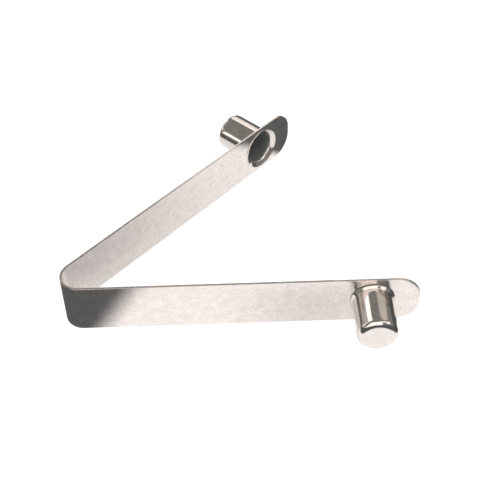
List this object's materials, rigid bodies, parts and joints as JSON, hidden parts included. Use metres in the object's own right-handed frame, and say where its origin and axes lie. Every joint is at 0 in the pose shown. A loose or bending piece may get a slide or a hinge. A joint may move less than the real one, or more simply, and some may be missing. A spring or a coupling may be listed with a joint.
{
  "type": "spring button clip",
  "caption": "V-shaped spring steel clip with a hollow round button staked near the tip of each leg, which locks telescopic tubes through their cross holes.",
  "frame": {"origin": "middle of the clip's footprint, on the surface that the strip's lower long edges stand on", "axes": "+X from the bend to the open end; +Y across the legs, from the front button to the rear button; +Z along the strip's width"},
  "size_m": [0.0634, 0.0716, 0.0112],
  "materials": {
    "spring_strip": "satin rolled strip with a fine mottled grain",
    "button_shell": "polished"
  },
  "bodies": {
    "bend": {"spring_bend": "spring_strip"},
    "front_leg": {"front_leg": "spring_strip", "front_button": "button_shell"},
    "rear_leg": {"rear_leg": "spring_strip", "rear_button": "button_shell"}
  },
  "joints": [
    {"name": "front_leg_flex", "type": "hinge", "parent": "bend", "child": "front_leg", "pos_m": [-0.02173, -0.00626, 0.0056], "axis": [0, 0, 1], "range_deg": [0, 28.5], "stiffness_Nm_per_rad": 0.8},
    {"name": "rear_leg_flex", "type": "hinge", "parent": "bend", "child": "rear_leg", "pos_m": [-0.02173, 0.00626, 0.0056], "axis": [0, 0, -1], "range_deg": [0, 28.5], "stiffness_Nm_per_rad": 0.8}
  ]
}
